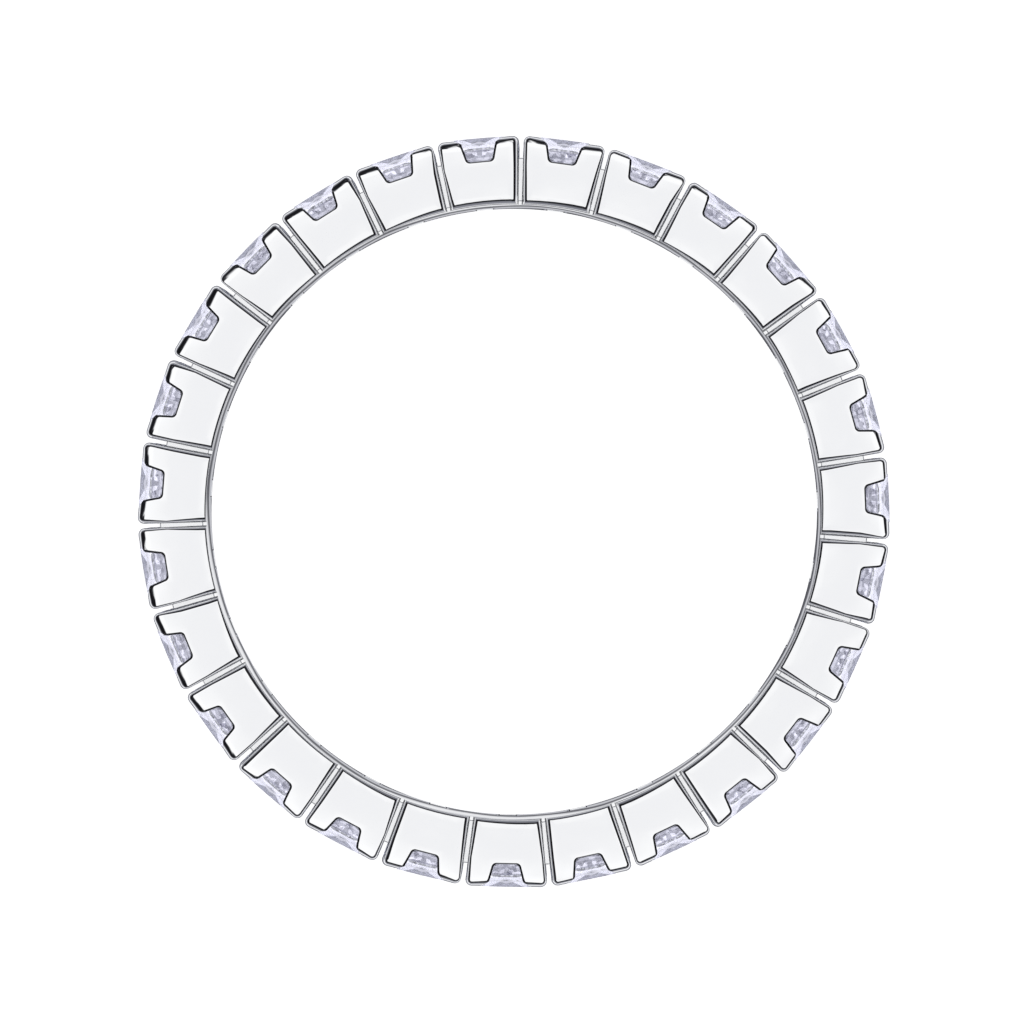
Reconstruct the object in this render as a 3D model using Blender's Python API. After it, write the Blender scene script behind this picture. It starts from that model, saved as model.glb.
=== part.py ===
"""Eternity ring: a cast metal band of box settings all round, with a square-cut stone in each.

The ring lies on its side. The finger's axis is +Z, the far faces of the boxes lie in the plane z = 0 and
the origin is at the middle of the finger hole in that plane. Lengths are in metres, angles in degrees.
A box is modelled once, on the +X side: X runs outwards, Y along the row and Z along the finger.
"""

import math

import bmesh
import bpy
from mathutils import Matrix, Vector

# The band
BORE_RADIUS = 0.00865  # at the rims of the finger hole
BORE_BULGE = 0.00006  # how far the wall of the finger hole bulges in halfway along the finger
BAND_THICKNESS = 0.00188  # from the rims of the finger hole to the prong tips
BAND_WIDTH = 0.00240  # along the finger
FIRST_BOX_ANGLE = 7.85  # middle of the first box, clockwise from +Y

# The stones
STONE_WIDTH = 0.00195
TABLE_WIDTH = 0.00146
TABLE_BULGE = 0.00003  # how far the middle of a table's side stands out from its corners
CROWN_HEIGHT = 0.00029
GIRDLE_HEIGHT = 0.00006
PAVILION_DEPTH = 0.00105
TABLE_PROUD = 0.00004  # the tables stand this far out from the prong tips
SEAT_GAP = 0.00003  # between a stone and the metal all round
# Where two chevron facets meet, on the middle line of each side of the pavilion:
# share of the pavilion's depth, share of the stone's half width
CHEVRON_SHARES = ((0.26, 0.86), (0.62, 0.52))

# The boxes and the slits that part them
POST_WALL = 0.00011  # the least metal beside a stone, towards the next box
SLIT_AT_BORE = 0.00009
SLIT_AT_TIPS = 0.00013
SLIT_DEPTH = 0.00056  # the part of a slit that is sawn right through
WEB_RECESS = 0.00030  # the web between two boxes lies this far below their faces
RAIL_THICKNESS = 0.00012
RAIL_RECESS = 0.00016
EDGE_ROUND = 0.00013
CORNER_ROUND = 0.00018

# The U-shaped notch in a box's front and back, and the lower sides towards the neighbours
NOTCH_DEPTH = 0.00066
NOTCH_FLOOR_WIDTH = 0.00076
NOTCH_MOUTH_WIDTH = 0.00108
NOTCH_CORNER = 0.00011
SIDE_DEPTH = 0.00046
SIDE_FLOOR_WIDTH = 0.00090
SIDE_MOUTH_WIDTH = 0.00116

# The square hole behind each stone, which lets light in from the finger hole
LIGHT_HOLE_WIDTH = 0.00066
LIGHT_THROAT_WIDTH = 0.00056  # where it opens into the seat

# How finely the round shapes are divided
BORE_STEPS = 3  # flats of the finger hole for each box
BULGE_STEPS = 2  # from the middle of the finger hole to each rim
EDGE_STEPS = 1
CORNER_STEPS = 2
NOTCH_STEPS = 2
SIDE_STEPS = 1
OVERRUN = 0.00025  # how far a cutter runs past what it cuts
WELD_DISTANCE = 0.0000002

# Sizes that follow from those above
TIP_RADIUS = BORE_RADIUS + BAND_THICKNESS
TABLE_RADIUS = TIP_RADIUS + TABLE_PROUD
GIRDLE_RADIUS = TABLE_RADIUS - CROWN_HEIGHT - GIRDLE_HEIGHT
CULET_RADIUS = GIRDLE_RADIUS - PAVILION_DEPTH
STONE_PITCH = STONE_WIDTH + 2 * SEAT_GAP + 2 * POST_WALL + SLIT_AT_TIPS
STONE_COUNT = int(math.pi / math.atan(STONE_PITCH / 2 / GIRDLE_RADIUS))
HALF_PITCH_ANGLE = math.pi / STONE_COUNT


def half_box_width(radius):
    """Half the width of a box at this distance from the finger's axis, out to the middle of its side."""
    outward = (radius - BORE_RADIUS) / BAND_THICKNESS
    slit = SLIT_AT_BORE + (SLIT_AT_TIPS - SLIT_AT_BORE) * outward
    return radius * math.tan(HALF_PITCH_ANGLE) - slit / 2


def box_angle(index):
    """Angle of a box's middle from +X, anticlockwise, with the boxes counted clockwise from the top."""
    return math.radians(90 - FIRST_BOX_ANGLE) - 2 * HALF_PITCH_ANGLE * index


def mesh_of(name, faces):
    """A closed mesh from faces given as lists of points, with the points they share made one."""
    form = bmesh.new()
    for points in faces:
        form.faces.new([form.verts.new(point) for point in points])
    bmesh.ops.remove_doubles(form, verts=form.verts, dist=WELD_DISTANCE)
    bmesh.ops.recalc_face_normals(form, faces=form.faces)
    mesh = bpy.data.meshes.new(name)
    form.to_mesh(mesh)
    form.free()
    return mesh


def loft(name, loops):
    """A closed mesh through loops that have the same number of points, with a flat face at each end."""
    faces = [loops[0], loops[-1]]
    for lower, upper in zip(loops, loops[1:]):
        for i in range(len(lower)):
            j = (i + 1) % len(lower)
            faces.append([lower[i], lower[j], upper[j], upper[i]])
    return mesh_of(name, faces)


def extruded(name, outline, axis, half_length):
    """An outline in the plane across an axis, run out both ways along it. X is always its first number."""
    loops = []
    for end in (-half_length, half_length):
        if axis == "Z":
            loops.append([(x, y, end) for x, y in outline])
        else:
            loops.append([(x, end, z) for x, z in outline])
    return loft(name, loops)


def turned(name, profile, sides, first_angle):
    """A closed ring or a solid of revolution about Z, from a closed profile of (radius, z) points."""
    faces = []
    around = [first_angle + 2 * math.pi * i / sides for i in range(sides)]
    for i, angle in enumerate(around):
        after = around[(i + 1) % sides]
        for (r1, z1), (r2, z2) in zip(profile, profile[1:] + profile[:1]):
            corners = [(r1, angle, z1), (r1, after, z1), (r2, after, z2), (r2, angle, z2)]
            if r1 == 0 and r2 == 0:
                continue
            if r1 == 0:
                corners = corners[1:]
            elif r2 == 0:
                corners = corners[:3]
            faces.append([(r * math.cos(a), r * math.sin(a), z) for r, a, z in corners])
    return mesh_of(name, faces)


def arc(centre, radius, start, end, steps):
    """Points along an arc, both ends included, with the angles in degrees."""
    points = []
    for i in range(steps + 1):
        angle = math.radians(start + (end - start) * i / steps)
        points.append((centre[0] + radius * math.cos(angle), centre[1] + radius * math.sin(angle)))
    return points


def rounded_corner(before, corner, after, radius, steps):
    """The corner of an outline, replaced by an arc that touches both of its sides."""
    before, corner, after = Vector(before), Vector(corner), Vector(after)
    to_before = (before - corner).normalized()
    to_after = (after - corner).normalized()
    half_angle = to_before.angle(to_after) / 2
    middle = corner + (to_before + to_after).normalized() * radius / math.sin(half_angle)
    start = corner + to_before * radius / math.tan(half_angle) - middle
    end = corner + to_after * radius / math.tan(half_angle) - middle
    turn = start.angle_signed(end)
    points = []
    for i in range(steps + 1):
        spoke = start.copy()
        spoke.rotate(Matrix.Rotation(-turn * i / steps, 2))
        points.append(tuple(middle + spoke))
    return points


def box_outline(inset):
    """The outline of a box seen along the finger, drawn in by an inset at its sides and its prong tips."""
    slope = math.atan((half_box_width(TIP_RADIUS) - half_box_width(BORE_RADIUS)) / BAND_THICKNESS)
    drawn_in = inset / math.cos(slope)
    start = BORE_RADIUS - OVERRUN
    end = TIP_RADIUS - inset
    inner = (start, half_box_width(start) - drawn_in)
    outer = (end, half_box_width(end) - drawn_in)
    mirrored_outer = (outer[0], -outer[1])
    corner = rounded_corner(inner, outer, mirrored_outer, CORNER_ROUND - inset, CORNER_STEPS)
    one_side = [inner] + corner
    return one_side + [(x, -y) for x, y in reversed(one_side)]


def box_block():
    """A box before it is cut: its outline along the finger, drawn in by an arc at both faces."""
    half_width = BAND_WIDTH / 2
    rounding = []
    for i in range(EDGE_STEPS + 1):
        angle = math.radians(90 * i / EDGE_STEPS)
        inset = EDGE_ROUND * (1 - math.cos(angle))
        height = half_width - EDGE_ROUND * (1 - math.sin(angle))
        rounding.append((inset, height))
    levels = [(inset, -height) for inset, height in reversed(rounding)] + rounding
    loops = [[(x, y, height) for x, y in box_outline(inset)] for inset, height in levels]
    return loft("box block", loops)


def ring_blank():
    """The rail and the web as one ring of flats, each flat lying across a slit."""
    rail_half = BAND_WIDTH / 2 - RAIL_RECESS
    web_half = BAND_WIDTH / 2 - WEB_RECESS
    to_corner = 1 / math.cos(HALF_PITCH_ANGLE)
    inner = BORE_RADIUS - OVERRUN
    rail = (BORE_RADIUS + RAIL_THICKNESS) * to_corner
    web = (TIP_RADIUS - SLIT_DEPTH) * to_corner
    upper = [(inner, rail_half), (rail, rail_half), (rail, web_half), (web, web_half)]
    profile = upper + [(radius, -z) for radius, z in reversed(upper)]
    return turned("ring blank", profile, STONE_COUNT, 0)


def bore_cutter():
    """The finger hole: narrowest halfway along, and flared at both rims by the round of the boxes' edges."""
    half_width = BAND_WIDTH / 2
    bulge = []
    for i in range(1, BULGE_STEPS):
        share = i / BULGE_STEPS
        bulge.append((BORE_RADIUS - BORE_BULGE * (1 - share ** 2), (half_width - EDGE_ROUND) * share))
    flare = arc((BORE_RADIUS + EDGE_ROUND, half_width - EDGE_ROUND), EDGE_ROUND, 180, 90, EDGE_STEPS)
    mouth = (BORE_RADIUS + EDGE_ROUND, half_width + OVERRUN)
    upper = bulge + flare + [mouth, (0, mouth[1])]
    middle = [(BORE_RADIUS - BORE_BULGE, 0)]
    profile = [(radius, -z) for radius, z in reversed(upper)] + middle + upper
    return turned("bore cutter", profile, STONE_COUNT * BORE_STEPS, HALF_PITCH_ANGLE)


def u_outline(depth, floor_width, mouth_width, steps):
    """A U open to the outside of the ring, with its flare carried on past the prong tips."""
    floor = TIP_RADIUS - depth
    flare = (mouth_width - floor_width) / 2 / depth
    end = TIP_RADIUS + OVERRUN
    mouth = (end, floor_width / 2 + flare * (end - floor))
    bottom = (floor, floor_width / 2)
    mirrored_bottom = (bottom[0], -bottom[1])
    corner = rounded_corner(mouth, bottom, mirrored_bottom, NOTCH_CORNER, steps)
    one_side = [mouth] + corner
    return one_side + [(x, -y) for x, y in reversed(one_side)]


def light_hole():
    """The tapered hole from the finger hole up to the seat, where it fits inside the seat's cut."""
    seat_radius = CULET_RADIUS + PAVILION_DEPTH * LIGHT_THROAT_WIDTH / STONE_WIDTH
    flare = (LIGHT_HOLE_WIDTH - LIGHT_THROAT_WIDTH) / (seat_radius - BORE_RADIUS)
    loops = []
    for x in (BORE_RADIUS - OVERRUN, seat_radius):
        half = (LIGHT_THROAT_WIDTH + flare * (seat_radius - x)) / 2
        loops.append([(x, -half, -half), (x, half, -half), (x, half, half), (x, -half, half)])
    return loft("light hole", loops)


def stone_mesh(name, grow=0, open_above=0):
    """A square-cut stone, its table facing +Z and its girdle's lower edge at z = 0.

    Grown by the seat's gap, and carried on above its table, it is the cutter of its own seat.
    """
    half = STONE_WIDTH / 2 + grow
    table = TABLE_WIDTH / 2 + grow
    girdle = GIRDLE_HEIGHT + grow
    top = girdle + CROWN_HEIGHT
    depth = PAVILION_DEPTH + grow
    corners = (Vector((half, -half, 0)), Vector((half, half, 0)))
    girdle_corners = [corner + Vector((0, 0, girdle)) for corner in corners]
    table_corners = [Vector((table, -table, top)), Vector((table, table, top))]
    table_middle = Vector((table + TABLE_BULGE, 0, top))
    rise = Vector((0, 0, open_above))
    meeting = [Vector((share * half, 0, -down * depth)) for down, share in CHEVRON_SHARES]
    down_middle = meeting + [Vector((0, 0, -depth))]

    side = [
        [corners[0], corners[1], girdle_corners[1], girdle_corners[0]],
        [girdle_corners[0], girdle_corners[1], table_middle],
        [corners[0], corners[1], down_middle[0]],
    ]
    for i in (0, 1):
        side.append([girdle_corners[i], table_middle, table_corners[i]])
        for upper, lower in zip(down_middle, down_middle[1:]):
            side.append([corners[i], upper, lower])
        if open_above:
            side.append([table_corners[i], table_middle, table_middle + rise, table_corners[i] + rise])

    faces = []
    table_outline = []
    for quarter in range(4):
        turn = Matrix.Rotation(math.radians(90 * quarter), 3, "Z")
        faces += [[turn @ point for point in face] for face in side]
        table_outline += [turn @ (table_corners[0] + rise), turn @ (table_middle + rise)]
    return mesh_of(name, faces + [table_outline])


def place_stone(stone, angle):
    """Turns a stone's table outwards and moves it to its seat."""
    stone.location = (GIRDLE_RADIUS * math.cos(angle), GIRDLE_RADIUS * math.sin(angle), 0)
    stone.rotation_euler = (0, math.pi / 2, angle)


def new_object(name, mesh):
    made = bpy.data.objects.new(name, mesh)
    bpy.context.scene.collection.objects.link(made)
    return made


def one_sector():
    """The metal round one stone, cut out of the ring halfway along the slits on both sides of it."""
    seat = new_object("seat cutter", stone_mesh("seat cutter", SEAT_GAP, OVERRUN))
    place_stone(seat, 0)
    along_finger = u_outline(NOTCH_DEPTH, NOTCH_FLOOR_WIDTH, NOTCH_MOUTH_WIDTH, NOTCH_STEPS)
    along_row = u_outline(SIDE_DEPTH, SIDE_FLOOR_WIDTH, SIDE_MOUTH_WIDTH, SIDE_STEPS)
    notch_length = BAND_WIDTH / 2 + OVERRUN
    side_length = half_box_width(TIP_RADIUS) + OVERRUN
    steps = [
        ("UNION", new_object("box block", box_block())),
        ("DIFFERENCE", new_object("notch", extruded("notch", along_finger, "Z", notch_length))),
        ("DIFFERENCE", new_object("sides", extruded("sides", along_row, "Y", side_length))),
        ("DIFFERENCE", seat),
        ("DIFFERENCE", new_object("light hole", light_hole())),
        ("DIFFERENCE", new_object("bore cutter", bore_cutter())),
    ]
    blank = new_object("ring blank", ring_blank())
    for operation, helper in steps:
        modifier = blank.modifiers.new(helper.name, "BOOLEAN")
        modifier.operation = operation
        modifier.object = helper
    sector = bmesh.new()
    sector.from_object(blank, bpy.context.evaluated_depsgraph_get())
    for helper in [blank] + [helper for _, helper in steps]:
        bpy.data.objects.remove(helper)

    for side in (-1, 1):
        across = Vector((-math.sin(HALF_PITCH_ANGLE), side * math.cos(HALF_PITCH_ANGLE), 0))
        everything = sector.verts[:] + sector.edges[:] + sector.faces[:]
        bmesh.ops.bisect_plane(
            sector, geom=everything, dist=WELD_DISTANCE, plane_co=(0, 0, 0), plane_no=across, clear_outer=True
        )
    return sector


def band_mesh():
    """All the sectors round the finger, welded into one body."""
    sector = one_sector()
    band = bmesh.new()
    for index in range(STONE_COUNT):
        turn = Matrix.Rotation(box_angle(index), 4, "Z")
        places = {vert: band.verts.new(turn @ vert.co) for vert in sector.verts}
        for face in sector.faces:
            band.faces.new([places[vert] for vert in face.verts])
    sector.free()
    bmesh.ops.remove_doubles(band, verts=band.verts, dist=WELD_DISTANCE)
    bmesh.ops.recalc_face_normals(band, faces=band.faces)
    mesh = bpy.data.meshes.new("band")
    band.to_mesh(mesh)
    band.free()
    return mesh


def material(name, colour, roughness, metallic, transmission=0, refraction=1.5):
    made = bpy.data.materials.new(name)
    made.use_nodes = True
    shader = made.node_tree.nodes["Principled BSDF"]
    shader.inputs["Base Color"].default_value = (*colour, 1)
    shader.inputs["Roughness"].default_value = roughness
    shader.inputs["Metallic"].default_value = metallic
    shader.inputs["Transmission Weight"].default_value = transmission
    shader.inputs["IOR"].default_value = refraction
    return made


def main():
    for leftover in list(bpy.data.objects):
        bpy.data.objects.remove(leftover)

    metal = material("polished white metal", (0.86, 0.865, 0.87), 0.06, 1)
    clear = material("clear stone", (0.93, 0.93, 0.99), 0, 0, transmission=1, refraction=2.4)

    band = new_object("band", band_mesh())
    band.data.materials.append(metal)
    band.data.shade_smooth()
    band.data.set_sharp_from_angle(angle=math.radians(30))
    band.location.z = BAND_WIDTH / 2

    cut = stone_mesh("square-cut stone")
    cut.materials.append(clear)
    for index in range(STONE_COUNT):
        stone = new_object(f"stone_{index + 1:02d}", cut)
        place_stone(stone, box_angle(index))
        stone.location.z = BAND_WIDTH / 2


main()
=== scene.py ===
# %% [markdown]
# # Dressing an eternity ring
#
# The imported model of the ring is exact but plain: its edges are single chamfers and its stones have few
# facets. Here the metal and the stones are modelled again in finer detail, at the same places and sizes,
# and get the finish of polished white metal and clear cut stones.
#
# Everything follows one box setting. A ring like this is cast from a wax in which one box was repeated
# all round, so one box is modelled once with care and then copied.

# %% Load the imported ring
import math
import random

import bmesh
import bpy
from mathutils import Matrix, Vector


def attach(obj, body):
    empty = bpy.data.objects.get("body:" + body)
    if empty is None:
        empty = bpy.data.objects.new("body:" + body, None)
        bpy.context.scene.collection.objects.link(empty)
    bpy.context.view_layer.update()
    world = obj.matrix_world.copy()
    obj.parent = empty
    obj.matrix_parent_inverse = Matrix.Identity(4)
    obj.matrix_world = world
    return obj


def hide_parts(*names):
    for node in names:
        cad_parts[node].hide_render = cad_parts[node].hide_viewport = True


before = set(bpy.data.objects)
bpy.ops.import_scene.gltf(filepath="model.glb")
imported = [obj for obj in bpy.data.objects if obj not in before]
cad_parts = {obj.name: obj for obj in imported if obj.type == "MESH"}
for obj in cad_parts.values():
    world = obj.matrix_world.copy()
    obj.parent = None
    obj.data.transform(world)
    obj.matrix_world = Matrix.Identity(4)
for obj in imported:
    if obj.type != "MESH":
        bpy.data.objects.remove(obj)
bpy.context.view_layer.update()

print("nodes in the packed ring:", len(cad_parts))

# %% [markdown]
# ## Sizes of the ring
#
# The ring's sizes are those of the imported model, in millimetres, and only its rounds and facets are finer.
# A ring is so small that some of Blender's tools would round its lengths off, so each piece is modelled
# with one unit to the millimetre and is brought to metres when it is finished. The box is modelled on the
# +X side, and Z is the finger's axis.

# %% Sizes in millimetres
BORE_RADIUS = 8.65
BAND_THICKNESS = 1.88
BAND_WIDTH = 2.40
BOX_COUNT = 27
SLIT_AT_BORE = 0.09
SLIT_AT_TIPS = 0.13

TIP_RADIUS = BORE_RADIUS + BAND_THICKNESS
FACE_HALF = BAND_WIDTH / 2
HALF_PITCH = math.pi / BOX_COUNT
MILLIMETRE = 0.001
# How far a cutting tool runs out past what it cuts
OVERRUN = 0.25


def half_box_width(radius):
    """Half the width of a box along the row, at a distance from the finger's axis."""
    outward = (radius - BORE_RADIUS) / BAND_THICKNESS
    slit = SLIT_AT_BORE + (SLIT_AT_TIPS - SLIT_AT_BORE) * outward
    return radius * math.tan(HALF_PITCH) - slit / 2


print("a box is", round(2 * half_box_width(TIP_RADIUS), 3), "mm wide at its prong tips")

# %% [markdown]
# ## Small helpers
#
# An edit-mode tool works on what is selected. These helpers let the selection be made by place, as a
# maker would point at an edge and say: that one.

# %% Helpers for selecting and carving
# How close to a place still counts as at it, from loose to strict
NEAR = 0.01
HAIR = 0.001
TINY = 0.00005
# The share of a direction that has to lie along an axis
STRAIGHT = 0.99


def put_down():
    """Leaves edit mode with nothing selected."""
    if bpy.context.object and bpy.context.object.mode == "EDIT":
        bpy.ops.object.mode_set(mode="OBJECT")
    bpy.ops.object.select_all(action="DESELECT")


def take_up(piece, edit=False):
    """Makes a piece the one being worked on."""
    put_down()
    piece.select_set(True)
    bpy.context.view_layer.objects.active = piece
    if edit:
        bpy.ops.object.mode_set(mode="EDIT")


def pick(piece, kind, test):
    """Selects the vertices, edges or faces of the edited piece that pass a test, and counts them."""
    bpy.ops.mesh.select_mode(type=kind)
    bpy.ops.mesh.select_all(action="DESELECT")
    form = bmesh.from_edit_mesh(piece.data)
    parts = {"VERT": form.verts, "EDGE": form.edges, "FACE": form.faces}[kind]
    chosen = [part for part in parts if test(part)]
    for part in chosen:
        part.select_set(True)
    bmesh.update_edit_mesh(piece.data)
    return len(chosen)


def weld(piece, distance):
    """Merges the points of the edited piece that lie together and turns all faces outwards."""
    pick(piece, "VERT", lambda v: True)
    bpy.ops.mesh.remove_doubles(threshold=distance)
    bpy.ops.mesh.normals_make_consistent(inside=False)


def extrude(x=0, z=0):
    """Pulls the selected faces out by a step."""
    bpy.ops.mesh.extrude_region_move(TRANSFORM_OT_translate={"value": (x, 0, z)})


def bar(name, low, high):
    """A rectangular bar between two corners."""
    put_down()
    middle = [(a + b) / 2 for a, b in zip(low, high)]
    size = [b - a for a, b in zip(low, high)]
    bpy.ops.mesh.primitive_cube_add(size=1, location=middle)
    piece = bpy.context.object
    piece.name = name
    piece.scale = size
    bpy.ops.object.transform_apply(location=True, rotation=True, scale=True)
    return piece


def combine(piece, tool, operation):
    """Joins a tool's solid to a piece, or cuts it out, and puts the tool away."""
    take_up(piece)
    change = piece.modifiers.new(tool.name, "BOOLEAN")
    change.object = tool
    change.operation = operation
    change.solver = "EXACT"
    bpy.ops.object.modifier_apply(modifier=change.name)
    bpy.data.objects.remove(tool)


def middle_of(edge):
    """The point halfway along an edge."""
    return (edge.verts[0].co + edge.verts[1].co) / 2


def along(edge, axis):
    """True if an edge runs along an axis."""
    step = (edge.verts[1].co - edge.verts[0].co).normalized()
    return abs(step["XYZ".index(axis)]) > STRAIGHT


print("helpers are ready")

# %% [markdown]
# ## The box block
#
# Each setting starts as a small block, a little wider at the prong tips than at the finger. It could be
# drawn as an outline and extruded. A cube tapered in edit mode is as quick, and its edges can then be
# rounded: first the two outer corners of its outline, then the outline of both faces. Polishing wears
# these edges into soft rounds, and the rounds make the thin dark and light lines that run round each box.

# %% Model the block
CORNER_ROUND = 0.20
EDGE_ROUND = 0.165
ROUND_STEPS = 8
BLOCK_START = BORE_RADIUS - OVERRUN

start_half = half_box_width(BLOCK_START)
box = bar("box", (BLOCK_START, -start_half, -FACE_HALF), (TIP_RADIUS, start_half, FACE_HALF))
take_up(box, edit=True)
pick(box, "VERT", lambda v: v.co.x > TIP_RADIUS - NEAR)
bpy.ops.transform.resize(value=(1, half_box_width(TIP_RADIUS) / start_half, 1))
pick(box, "EDGE", lambda e: along(e, "Z") and middle_of(e).x > TIP_RADIUS - NEAR)
bpy.ops.mesh.bevel(offset=CORNER_ROUND, segments=ROUND_STEPS, affect="EDGES")


def is_face_outline(edge):
    """The outline of the two faces, but not its end buried at the finger's side."""
    place = middle_of(edge)
    return place.x > BLOCK_START + NEAR and abs(place.z) > FACE_HALF - NEAR


pick(box, "EDGE", is_face_outline)
bpy.ops.mesh.bevel(offset=EDGE_ROUND, segments=ROUND_STEPS, affect="EDGES")
print("box block:", len(bmesh.from_edit_mesh(box.data).faces), "faces")

# %% [markdown]
# ## Web and rail
#
# Behind the boxes run a web, which holds them together between the slits, and a thin rail round the
# finger hole. Both start as discs about the finger's axis and are joined to the block before any cut, so
# that every cut goes through them as well.

# %% Join the web and the rail to the block
SLIT_DEPTH = 0.56
WEB_RECESS = 0.30
RAIL_THICKNESS = 0.12
RAIL_RECESS = 0.16
DISC_ROUND = 0.03
DISC_ROUND_STEPS = 3
WEB_RADIUS = TIP_RADIUS - SLIT_DEPTH
RAIL_RADIUS = BORE_RADIUS + RAIL_THICKNESS
STEPS_ROUND = BOX_COUNT * 8


def disc(name, radius, half_width):
    """A flat disc about the finger's axis with a rounded rim."""
    put_down()
    bpy.ops.mesh.primitive_cylinder_add(vertices=STEPS_ROUND, radius=radius, depth=2 * half_width)
    piece = bpy.context.object
    piece.name = name
    take_up(piece, edit=True)
    pick(piece, "EDGE", lambda e: abs(middle_of(e).z) > half_width - NEAR)
    bpy.ops.mesh.bevel(offset=DISC_ROUND, segments=DISC_ROUND_STEPS, affect="EDGES")
    put_down()
    return piece


combine(box, disc("web", WEB_RADIUS, FACE_HALF - WEB_RECESS), "UNION")
combine(box, disc("rail", RAIL_RADIUS, FACE_HALF - RAIL_RECESS), "UNION")
print("block with web and rail:", len(box.data.polygons), "faces")

# %% [markdown]
# ## Notch and sides
#
# A U-shaped notch goes through from the front face to the back and lets light into the stone. A lower
# U goes through from neighbour to neighbour. What is left between them are the four prongs. Each U could
# be drawn as a curve and extruded. Here it is cut with a bar that is shaped like the end of a file:
# tapered, with two rounded lower edges, and flared at the mouth, where polishing softens the prongs.

# %% A cutter shaped like a U
U_CORNER = 0.09
U_CORNER_STEPS = 5
MOUTH_ROUND = 0.16
MOUTH_BELOW_TIPS = 0.11
MOUTH_END = math.radians(60)
MOUTH_STEPS = 4


def u_cutter(name, axis, depth, floor_width, mouth_width, half_length):
    """A tapered bar with rounded lower edges and a flared mouth, lying along Y or Z."""
    floor = TIP_RADIUS - depth
    half = floor_width / 2
    slope = math.atan((mouth_width - floor_width) / 2 / depth)
    x = TIP_RADIUS - MOUTH_BELOW_TIPS - MOUTH_ROUND * (math.sin(MOUTH_END) - math.sin(slope))
    width = half + (x - floor) * math.tan(slope)
    corner = (half, half_length) if axis == "Z" else (half_length, half)
    cutter = bar(name, (floor, -corner[0], -corner[1]), (x, corner[0], corner[1]))
    take_up(cutter, edit=True)

    def widen(share):
        bpy.ops.transform.resize(value=(1, share, 1) if axis == "Z" else (1, 1, share))

    pick(cutter, "FACE", lambda f: f.normal.x > STRAIGHT)
    widen(width / half)
    angle = slope
    for step in range(1, MOUTH_STEPS + 1):
        next_angle = slope + (MOUTH_END - slope) * step / MOUTH_STEPS
        extrude(x=MOUTH_ROUND * (math.sin(next_angle) - math.sin(angle)))
        next_width = width + MOUTH_ROUND * (math.cos(angle) - math.cos(next_angle))
        widen(next_width / width)
        angle, width = next_angle, next_width
    extrude(x=OVERRUN * math.cos(MOUTH_END))
    widen((width + OVERRUN * math.sin(MOUTH_END)) / width)
    pick(cutter, "EDGE", lambda e: along(e, axis) and middle_of(e).x < floor + NEAR)
    bpy.ops.mesh.bevel(offset=U_CORNER, segments=U_CORNER_STEPS, affect="EDGES")
    put_down()
    return cutter


print("the mouth of a U flares in", MOUTH_STEPS, "steps")

# %% [markdown]
# Where the notch meets a face, the real edge is scooped: it falls away slowly at first and then faster.
# That draws a soft dark line round the notch. A bevel would round it the same at both ends, so the cutter
# itself flares near the faces, in steps that grow flatter.

# %% Cut the notch and the sides
NOTCH_DEPTH = 0.66
NOTCH_FLOOR_WIDTH = 0.76
NOTCH_MOUTH_WIDTH = 1.08
SIDE_DEPTH = 0.46
SIDE_FLOOR_WIDTH = 0.90
SIDE_MOUTH_WIDTH = 1.16
# The slope of each step in degrees, its width, and how much smaller the notch is cut for the scoop
SCOOP_SLOPES = (26, 21, 16, 11)
SCOOP_STEP = 0.013
SCOOP_SHARE = 0.035
SCOOP_DEPTH = sum(SCOOP_STEP * math.tan(math.radians(slope)) for slope in SCOOP_SLOPES)


def scoop_ends(cutter, floor_width):
    """Widens a cutter near both faces of the box in shallow steps, so that it scoops out their edges."""
    take_up(cutter, edit=True)
    for side in (-1, 1):
        pick(cutter, "FACE", lambda f: f.normal.z * side > STRAIGHT)
        grown = 0
        for degrees in (*SCOOP_SLOPES, SCOOP_SLOPES[-1]):
            width = OVERRUN if grown > len(SCOOP_SLOPES) * SCOOP_STEP - TINY else SCOOP_STEP
            rise = width * math.tan(math.radians(degrees))
            extrude(z=side * rise)
            deeper = (NOTCH_DEPTH + grown + width) / (NOTCH_DEPTH + grown)
            wider = (floor_width / 2 + grown + width) / (floor_width / 2 + grown)
            bpy.ops.transform.resize(value=(deeper, wider, 1), center_override=(TIP_RADIUS, 0, 0))
            grown += width
    put_down()


notch_floor_width = NOTCH_FLOOR_WIDTH - 2 * SCOOP_SHARE
notch_mouth_width = NOTCH_MOUTH_WIDTH - 2 * SCOOP_SHARE
notch = u_cutter("notch", "Z", NOTCH_DEPTH - SCOOP_SHARE, notch_floor_width, notch_mouth_width,
                 FACE_HALF - SCOOP_DEPTH)
scoop_ends(notch, notch_floor_width)
combine(box, notch, "DIFFERENCE")
sides = u_cutter("sides", "Y", SIDE_DEPTH, SIDE_FLOOR_WIDTH, SIDE_MOUTH_WIDTH, FACE_HALF + OVERRUN)
combine(box, sides, "DIFFERENCE")
print("box with notch and sides:", len(box.data.polygons), "faces")

# %% [markdown]
# ## Eased edges
#
# The cuts are sharp, and no polished edge is. A modifier could bevel every sharp edge, but it would take
# the rail's too. So the sharp outward edges of the box are picked and eased by a twentieth of a millimetre.
# The seat is cut after this and takes away what lies inside it.

# %% Ease the sharp edges
EASE = 0.045
EASE_STEPS = 3
SHARP = math.radians(35)
RAIL_CLEARANCE = 0.1


def is_sharp(edge):
    """A sharp outward edge of the box that was cut, beyond the rail."""
    place = middle_of(edge)
    beyond_rail = place.x > RAIL_RADIUS + RAIL_CLEARANCE
    on_the_box = beyond_rail and abs(place.y) < half_box_width(place.x) + NEAR
    return on_the_box and edge.is_manifold and edge.calc_face_angle_signed(0) > SHARP


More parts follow.
